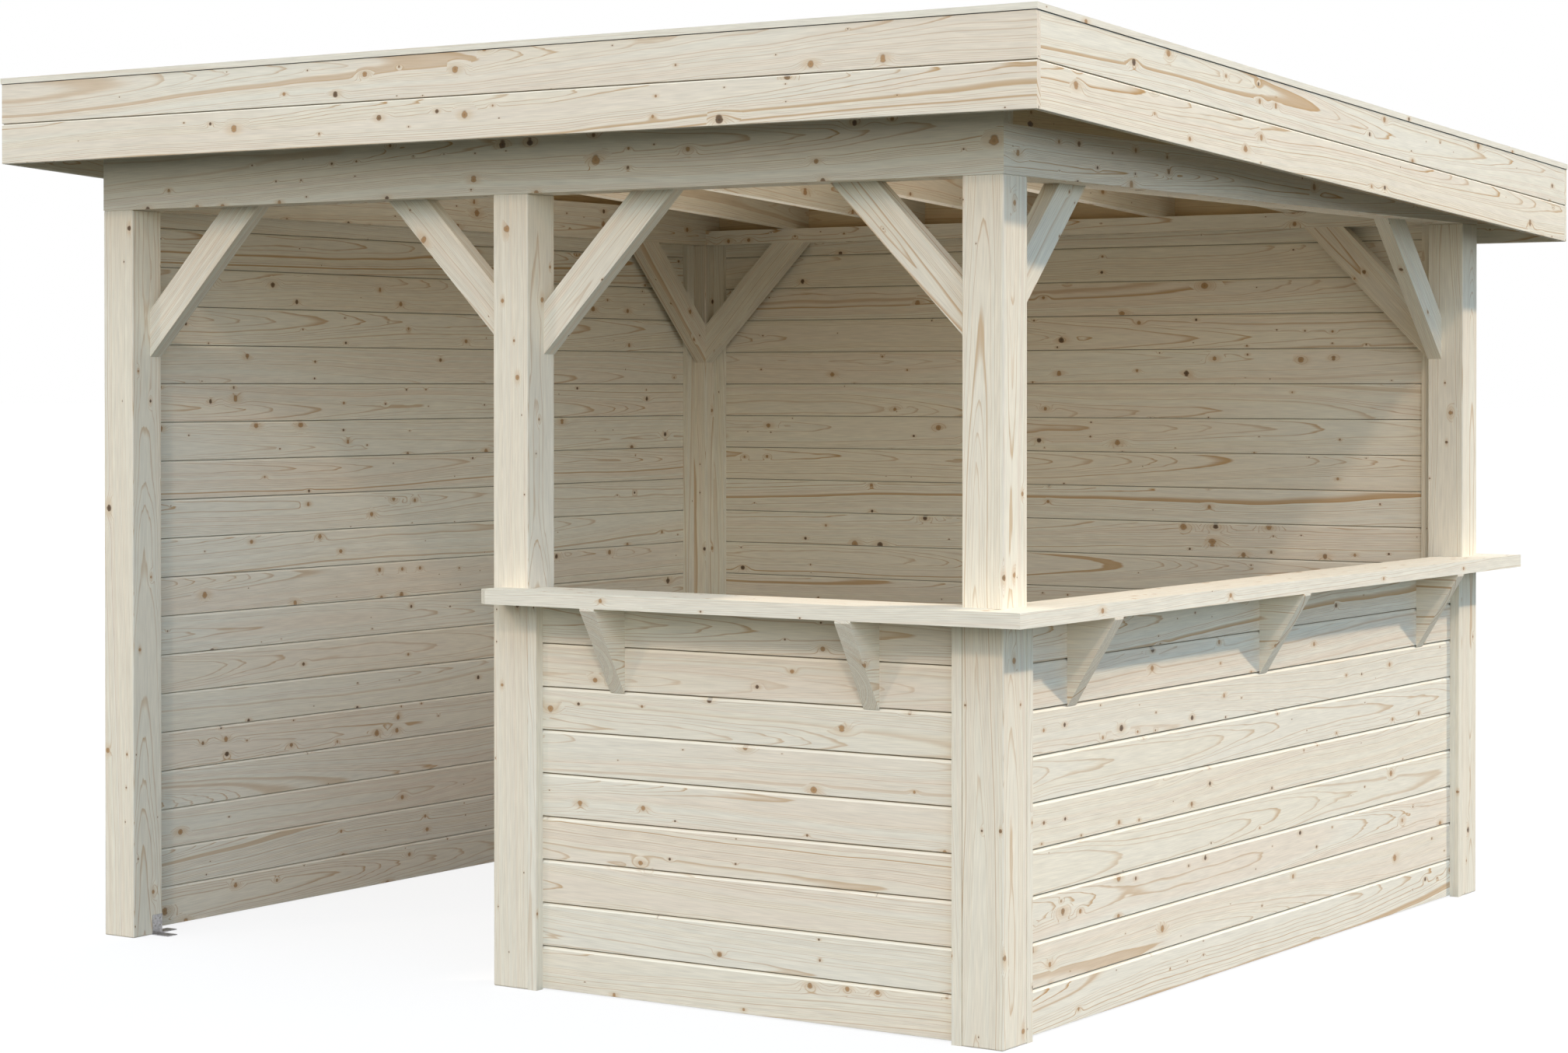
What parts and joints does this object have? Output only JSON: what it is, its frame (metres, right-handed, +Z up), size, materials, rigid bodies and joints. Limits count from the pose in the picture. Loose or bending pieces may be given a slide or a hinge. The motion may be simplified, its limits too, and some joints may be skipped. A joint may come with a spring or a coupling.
{
  "type": "wooden garden gazebo with bar counter",
  "caption": "Square open garden gazebo of sawn spruce with a low mono-pitch roof, two boarded walls, two half-height walls under an L-shaped counter, and an open entrance.",
  "frame": {"origin": "on the ground, under the centre of the roof", "axes": "+X to the right along the front, +Y from the front to the back, +Z up"},
  "size_m": [3.392, 3.406, 2.4611],
  "materials": {
    "post_wood": "sawn and planed raw spruce, pale cream with brown knots",
    "beam_wood": "planed raw spruce with fine grain lines",
    "board_wood": "planed raw spruce boards with bevelled edges",
    "roof_wood": "planed raw spruce, a little browner",
    "felt": "matt dark roofing felt",
    "zinc": "galvanised steel, dull"
  },
  "bodies": {
    "root": {"post_front_left": "post_wood", "post_front_middle": "post_wood", "post_front_right": "post_wood", "post_back_right": "post_wood", "post_back_left": "post_wood", "beam_front": "beam_wood", "beam_right": "beam_wood", "beam_left": "beam_wood", "beam_back": "beam_wood", "infill_right": "roof_wood", "infill_left": "roof_wood", "blocking_front": "roof_wood", "blocking_back": "roof_wood", "rafters": "roof_wood", "roof_deck": "roof_wood", "roof_felt": "felt", "fascia_front": "board_wood", "fascia_right": "board_wood", "fascia_back": "board_wood", "fascia_left": "board_wood", "edge_trim_front": "board_wood", "edge_trim_right": "board_wood", "edge_trim_back": "board_wood", "edge_trim_left": "board_wood", "braces_front": "beam_wood", "braces_right": "beam_wood", "braces_back": "beam_wood", "brace_left": "beam_wood", "wall_left": "board_wood", "wall_back": "board_wood", "bar_wall_front": "board_wood", "bar_wall_right": "board_wood", "battens_left": "board_wood", "battens_back": "board_wood", "battens_front": "board_wood", "battens_right": "board_wood", "counter_front": "board_wood", "counter_right": "board_wood", "brackets_front": "beam_wood", "brackets_right": "beam_wood", "post_anchors": "zinc"}
  },
  "joints": []
}
